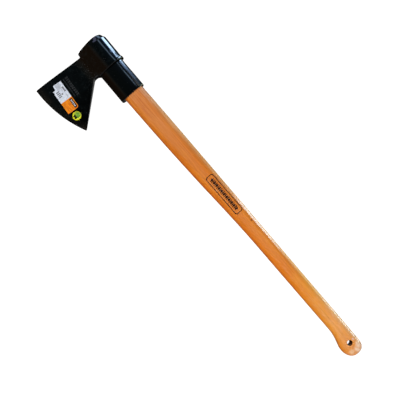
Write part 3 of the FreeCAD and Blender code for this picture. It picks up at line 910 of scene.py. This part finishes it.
def lacquered_wood():
    """Straight-grained hardwood under orange lacquer, redder near the head, paler at the knob; with
    painted shade along the belly and in the hanging hole, and painted sheen along the back and at the
    knob's end.
    """
    n = Surface("handle_wood")
    along, across, height = n.split(n.axe_mm)
    share = n.maths("DIVIDE", along, AXE_LENGTH)
    streak = n.noise((150, 2.6, 2.6), 4, 0.6, 0.4)
    fibre = n.noise((34, 0.5, 0.5), 3, 0.6)
    broad = n.noise((260, 14, 14), 2)
    lines = n.noise((70, 1.7, 1.7), 2)
    streaky = n.noise((45, 1.5, 1.5), 2)
    mottle = n.noise((16, 6, 6), 3, 0.6, 0.3)
    pores = n.fade(n.noise((11, 0.4, 0.4), 2), 0.66, 0.74, 0.0, 0.35)
    golden = n.fade(n.noise((38, 8, 8), 2), 0.5, 0.68)
    near_head = n.fade(share, 0.17, 0.34, 1.0, 0.0)
    dark_lines = n.times(n.fade(lines, 0.54, 0.66, 0.0, 0.34),
                         n.fade(share, 0.7, 0.85, 1.0, 0.45))
    pale = n.times(n.fade(mottle, 0.48, 0.72),
                   n.ramp(share, [(0.5, 0.05), (0.78, 0.15), (0.9, 0.6), (0.96, 0.25)]))
    colour = n.layers(
        n.ramp(share, WOOD_BASE),
        (n.fade(streak, 0.35, 0.7, 0.0, 0.42), (0.50, 0.122, 0.010)),
        (n.fade(broad, 0.45, 0.75, 0.0, 0.3), (0.84, 0.33, 0.05)),
        (n.fade(fibre, 0.45, 0.75, 0.0, 0.2), (0.38, 0.087, 0.009)),
        (dark_lines, (0.44, 0.095, 0.008)),
        (n.fade(lines, 0.34, 0.44, 0.25, 0.0), (0.86, 0.34, 0.07)),
        (n.times(n.fade(streaky, 0.54, 0.64, 0.0, 0.5), near_head), (0.52, 0.105, 0.020)),
        (n.times(n.fade(streaky, 0.36, 0.46, 0.5, 0.0), near_head), (0.76, 0.32, 0.12)),
        (pores, (0.22, 0.05, 0.008)),
        (pale, (0.86, 0.42, 0.19)),
        (n.times(golden, n.ramp(share, [(0.6, 0.1), (0.85, 0.5), (0.95, 0.2)])), (0.80, 0.33, 0.03)))

    shaft = HANDLE_STATIONS[2:-1]
    # painted shade along the belly and painted sheen along the back, together with the lacquer's own
    # change of tone there
    belly = n.ramp(share, [(x / AXE_LENGTH, -y / EDGE_TINT_REACH) for x, y in shaft[:, (0, 1)]])
    back = n.ramp(share, [(x / AXE_LENGTH, y / EDGE_TINT_REACH) for x, y in shaft[:, (0, 2)]])
    level = n.maths("DIVIDE", across, EDGE_TINT_REACH)
    belly_tint_and_shade = n.ramp(n.maths("ADD", level, belly), [(d / EDGE_TINT_REACH, tint) for d, tint in BELLY_LACQUER_AND_SHADE_TINTS])
    half_back_tint_and_sheen = n.ramp(n.maths("SUBTRACT", back, level),
                         [(d / EDGE_TINT_REACH, tuple(c / 2 for c in tint)) for d, tint in BACK_LACQUER_AND_SHEEN_TINTS])
    colour = n.mix(1.0, n.mix(1.0, colour, belly_tint_and_shade, "MULTIPLY"), half_back_tint_and_sheen, "MULTIPLY")
    colour = n.scaled(colour, 2.0)

    plan = n.vector("MULTIPLY", n.axe_mm, (1, 1, 0))
    upper = n.maths("GREATER_THAN", height, 0.0)
    for x, y, radius, strength, tint in WOOD_MARKS_AND_SHEEN:
        away = n.vector("DISTANCE", plan, (x, y, 0))
        near = n.fade(n.maths("DIVIDE", away, 2 * radius), 0.3, 0.7, strength, 0.0)
        # the large spots are the painted sheen at the knob's end, and are clouded
        if radius > SHEEN_SPOT_RADIUS:
            near = n.times(near, n.fade(mottle, 0.35, 0.55, 0.35, 1.0))
        colour = n.mix(n.times(near, upper), colour, tint)
    # painted shade: the wall of the hanging hole is dark, with little lacquer on it
    hole = n.vector("DISTANCE", plan, (HANG_HOLE[0], HANG_HOLE[1] - HANG_HOLE_LEAN / 2, 0))
    hole_shade = n.times(n.maths("LESS_THAN", hole, HANG_HOLE_RADIUS + 1.6),
                   n.maths("LESS_THAN", height, HOLE_SHADE_BELOW))
    n.set("Base Color", n.mix(n.times(hole_shade, 0.95), colour, (0.055, 0.018, 0.005)))
    n.set("Coat Weight", n.maths("SUBTRACT", 0.8, n.times(hole_shade, 0.75)))
    n.set("Roughness", n.fade(streak, 0.2, 0.8, 0.4, 0.5))
    n.set("Specular IOR Level", 0.2)
    n.set("Coat Roughness", 0.1)
    n.set("Normal", n.bump(pores, -0.08, 0.04, n.bump(fibre, 0.08, 0.04)))
    return n.material


def bare_wedge_wood():
    """Bare pale wood of the wedge."""
    n = Surface("wedge_wood")
    fibre = n.noise((8, 1.2, 0.6), 4, 0.6)
    n.set("Base Color", n.mix(fibre, (0.36, 0.19, 0.08), (0.62, 0.42, 0.22)))
    n.set("Roughness", 0.7)
    n.set("Normal", n.bump(fibre, 0.5, 0.2))
    return n.material


def bare_steel():
    """Bare steel of the small wedge, a little darkened."""
    n = Surface("wedge_steel")
    tone = n.noise(2, 4)
    n.set("Base Color", n.mix(tone, (0.22, 0.21, 0.2), (0.5, 0.5, 0.5)))
    n.set("Roughness", n.fade(tone, 0.2, 0.8, 0.3, 0.55))
    n.set("Metallic", 1.0)
    n.set("Normal", n.bump(tone, 0.3, 0.1))
    return n.material


ORANGE_FROM = 41.4  # mm along the label
# Plain marks on the label, as patch() takes them, each with the strength of its ink
LABEL_MARKS = [((12.2, 24.5, 2.2, 6.2, 3.1, 0.74), 1.0), ((29, 38, 5.8, 7.0), 0.35),
               ((1, 14, 5.5, 18), 0.25), ((3, 24, 8.6, 10), 0.25), ((24.2, 27, 12.0, 15.4), 1.0),
               ((15.4, 31.2, 16.6, 24, 3.95, 0.52), 0.95)]
LABEL_BAR, BAR_DASHES = (43.6, 66.4, 1.8, 8.9), (46.6, 64.4, 4.0, 7.0, 3.6, 0.6)


def printed_label():
    """White paper with faint dark marks, then an orange panel with a dark bar."""
    n = Surface("label_paper")
    u, v = (n.times(part, PRINT_SCALE) for part in n.split(n.print_place())[:2])
    blot = n.noise(3, 3, 0.6)
    white = n.mix(n.fade(blot, 0.35, 0.65), (0.50, 0.55, 0.66), (0.74, 0.79, 0.88))
    glow = n.fade(n.noise((12, 2.6, 3), 3, 0.6), 0.38, 0.6)
    orange = n.mix(glow, (0.62, 0.135, 0.001), (0.88, 0.27, 0.003))
    worn = n.fade(n.noise((1.6, 1.1, 1.6), 2, 0.6), 0.3, 0.45, 0.45, 1.0)
    colour = n.mix(n.maths("GREATER_THAN", u, ORANGE_FROM), white, orange)
    for mark, strength in LABEL_MARKS:
        ink = n.times(n.times(patch(n, u, v, *mark), worn), strength)
        colour = n.mix(ink, colour, (0.02, 0.02, 0.035))
    n.set("Base Color", n.layers(colour, (patch(n, u, v, *LABEL_BAR), (0.012, 0.003, 0.002)),
                                 (patch(n, u, v, *BAR_DASHES), (0.72, 0.70, 0.78))))
    n.set("Roughness", 0.55)
    n.set("Specular IOR Level", 0.25)
    n.set("Normal", n.bump(blot, 0.3, 0.05))
    return n.material


# Dark strokes on the sticker, as shares of its width and height: left, right, bottom, top
STICKER_STROKES = [(0.27, 0.47, 0.13, 0.42), (0.52, 0.71, 0.13, 0.42), (0.27, 0.71, 0.22, 0.36)]


def printed_sticker():
    """Yellow sticker with a plain green spot and short dark strokes."""
    n = Surface("sticker_paper")
    uv = n.print_place()
    across, up = n.split(uv)[:2]
    blot = n.noise(2.2, 2)
    wobble = n.times(n.noise(1.7, 2), 0.3)
    away = n.maths("ADD", n.vector("DISTANCE", uv, (0.46, 0.60, 0)), wobble)
    gaps = n.fade(n.noise(2.4, 1), 0.36, 0.43, 0.4, 1.0)
    spot = n.times(n.fade(away, 0.49, 0.53, 1.0, 0.0), gaps)
    colour = n.mix(spot, n.mix(blot, (0.60, 0.62, 0.002), (0.80, 0.80, 0.004)), (0.08, 0.27, 0.006))
    for left, right, bottom, top in STICKER_STROKES:
        stroke = n.times(n.inside(across, left, right), n.inside(up, bottom, top))
        colour = n.mix(stroke, colour, (0.006, 0.007, 0.002))
    n.set("Base Color", colour)
    n.set("Roughness", 0.4)
    n.set("Normal", n.bump(blot, 0.2, 0.05))
    return n.material


def printing_ink():
    """Dark brown ink on the handle, a little worn."""
    n = Surface("printing_ink")
    worn = n.fade(n.noise((4, 0.8, 0.8), 3, 0.6), 0.55, 0.8, 0.0, 0.35)
    n.set("Base Color", n.mix(worn, (0.028, 0.008, 0.003), (0.12, 0.035, 0.01)))
    n.set("Roughness", 0.5)
    n.set("Specular IOR Level", 0.2)
    return n.material


# ---- Stage ----

CAMERA_PLACE = (418.0, -44.0, 1515.0)  # mm, on the axe's axes
CAMERA_TURN = math.radians(49.0)
CAMERA_SENSOR, CAMERA_LENS = 36.0, 61.8


def build_camera():
    """Square to the cheeks, above the middle of the axe, with the handle running down right."""
    data = bpy.data.cameras.new("camera")
    data.sensor_width, data.lens = CAMERA_SENSOR, CAMERA_LENS
    camera = new_object("camera", data)
    camera.location = to_row(CAMERA_PLACE)
    camera.rotation_euler = (0, 0, CAMERA_TURN)
    scene.camera = camera


FLOOR_Z = -0.0003  # m; just clear of the uneven paint under the barrel
FLOOR_HALF = 6.0  # m


def build_floor():
    """Plain white floor, bright enough that the axe's soft shadows stay faint."""
    mesh = bpy.data.meshes.new("floor")
    corners = [(x * FLOOR_HALF, y * FLOOR_HALF, FLOOR_Z) for x, y in ((-1, -1), (1, -1), (1, 1), (-1, 1))]
    mesh.from_pydata(corners, [], [(0, 1, 2, 3)])
    floor = new_object("floor", mesh)
    material = bpy.data.materials.new("floor_white")
    n = Nodes(material)
    n.set("Base Color", (0.35, 0.35, 0.35))
    n.set("Roughness", 1.0)
    n.set("Specular IOR Level", 0.0)
    n.set("Emission Color", (1, 1, 1))
    n.set("Emission Strength", 0.9)
    mesh.materials.append(material)
    floor.visible_glossy = False


# Soft lights: name, place in m, size in m, power in W, colour
LIGHTS = [("overhead", (0.0, 0.0, 2.2), (2.4, 1.2), 50, (1.0, 0.99, 0.97)),
          ("poll_side", (0.1, 2.0, 1.2), (2.4, 1.0), 4, (0.97, 0.99, 1.0)),
          ("edge_side", (0.1, -2.0, 1.3), (2.4, 1.0), 16, (1.0, 0.97, 0.93))]


def add_soft_light(name, place, size, power, colour):
    """Large soft light aimed at the middle of the axe; it lights, but doesn't mirror."""
    data = bpy.data.lights.new(name, "AREA")
    data.shape = "RECTANGLE"
    data.size, data.size_y = size
    data.energy = power
    data.color = colour
    light = new_object(name, data)
    light.location = place
    light.rotation_euler = (-Vector(place)).to_track_quat("-Z", "Y").to_euler()
    light.visible_glossy = False
    light.visible_camera = False


# Angle from straight up towards the poll's side, degrees, and the room's brightness there
ROOM = [(-180, (0.03, 0.03, 0.03)), (-144, (0.05, 0.025, 0.012)), (-60, (0.09, 0.045, 0.02)),
        (-36, (0.14, 0.075, 0.035)), (-30, (0.16, 0.13, 0.10)), (-25, (0.14, 0.135, 0.115)),
        (-19, (0.08, 0.085, 0.075)), (-14, (0.03, 0.05, 0.058)), (0, (0.025, 0.045, 0.05)),
        (10, (0.03, 0.06, 0.085)), (20, (0.04, 0.08, 0.12)), (32, (0.05, 0.10, 0.17)),
        (45, (0.02, 0.06, 0.13)), (58, (0.03, 0.09, 0.19)), (70, (0.14, 0.34, 0.70)),
        (112, (0.14, 0.28, 0.45)), (130, (0.06, 0.08, 0.10)), (150, (0.05, 0.05, 0.05)),
        (157, (0.8, 0.8, 0.8)), (172, (0.8, 0.8, 0.8)), (176, (0.03, 0.03, 0.03)),
        (180, (0.03, 0.03, 0.03))]
BLUE, WHITE = (0.68, 0.95, 1.28), (0.95, 0.98, 0.96)
COOL, STRAW = (0.78, 1.03, 1.10), (0.84, 0.95, 0.45)
NIGHT, VIOLET = (0.55, 0.85, 1.5), (0.8, 0.85, 1.4)
# Windows and pale walls low down on the poll's side: start and end along the axe, start and
# end round from straight up, degrees, then brightness and colour
WINDOWS = [(-60.0, -19.0, 66, 108, 2.2, BLUE), (-36.0, -29.0, 8, 55, 1.3, VIOLET),
           (-19.0, -12.5, 74.5, 107, 20.0, BLUE), (-12.5, -11.9, 54, 83, 8.0, NIGHT),
           (-11.9, -10.9, 62, 104, 1.6, NIGHT), (-19.0, -13.0, 29, 40, 2.0, BLUE),
           (-11.7, -10.9, 27, 35, 5.5, BLUE), (-10.8, -10.55, 58, 74, 4.5, WHITE),
           (-10.3, -9.2, 44, 54, 3.2, WHITE), (-9.0, 2.6, 52, 125, 1.4, STRAW),
           (2.6, 7.2, 54, 112, 14.0, COOL), (2.6, 7.2, 112, 126, 4.0, STRAW),
           (7.2, 13.0, 60, 125, 3.6, STRAW), (13.0, 20.0, 76, 108, 11.0, COOL),
           (13.0, 20.0, 52, 76, 1.8, STRAW), (-9.0, 20.0, 126, 154, 1.2, STRAW)]
SOFT_ALONG, SOFT_ROUND = 0.4, 2.0  # degrees over which a window's brightness grows at its sides
DARK_SIDE = (-11.0, -9.0, 0.25)  # the room darkens beyond the handle: angles along, brightness
END_GLOW = (22.0, 32.0, 0.6)  # pale light beyond the knob: angles along, brightness
PALE_WALL = (0.86, 0.87, 0.88)


def build_room():
    """Dim room that the paint mirrors: brown towards the edge, teal above, and windows and
    pale walls low down on the poll's side. Looked at directly, beyond the floor, it is a plain
    pale wall."""
    world = bpy.data.worlds.new("room")
    n = Nodes(world)
    x, y, z = n.split(n.add("TexCoord").outputs["Generated"])
    turn = n.maths("DEGREES", n.maths("ARCTAN2", y, z))
    along = n.maths("DEGREES", n.maths("ARCSINE", x))

    def change(value, start, end, low, high):
        return n.add("MapRange", {0: value, 1: start, 2: end, 3: low, 4: high}).outputs[0]

    def between(value, low, high, soft):
        rise = change(value, low - soft, low + soft, 0.0, 1.0)
        return n.times(rise, change(value, high - soft, high + soft, 1.0, 0.0))

    share = n.maths("ADD", n.maths("DIVIDE", turn, 360.0), 0.5)
    walls = n.ramp(share, [((angle + 180) / 360, colour) for angle, colour in ROOM])
    whole = n.vector("ADD", n.scaled(walls, change(along, *DARK_SIDE[:2], 1.0, DARK_SIDE[2])),
                     n.scaled((1.0, 1.0, 1.0), change(along, *END_GLOW[:2], 0.0, END_GLOW[2])))
    for start, end, low, high, bright, colour in WINDOWS:
        pane = n.times(between(along, start, end, SOFT_ALONG), between(turn, low, high, SOFT_ROUND))
        whole = n.vector("ADD", whole, n.scaled(tuple(bright * c for c in colour), pane))
    seen = n.add("LightPath").outputs["Is Camera Ray"]
    n.link(n.mix(seen, whole, PALE_WALL), n.tree.nodes["Background"].inputs[0])
    scene.world = world
    world.cycles_visibility.diffuse = False


def build_lights():
    build_room()
    for light in LIGHTS:
        add_soft_light(*light)
    scene.view_settings.view_transform = "Standard"


# ---- The axe ----

build_head(painted_steel())
build_handle(lacquered_wood())
build_collar(black_sleeve())
build_label(printed_label())
build_sticker(printed_sticker())
build_print(printing_ink())
for node, material in (("eye_wedge", bare_wedge_wood()), ("steel_wedge", bare_steel())):
    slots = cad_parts[node].data.materials
    slots.clear()
    slots.append(material)

build_camera()
build_floor()
build_lights()
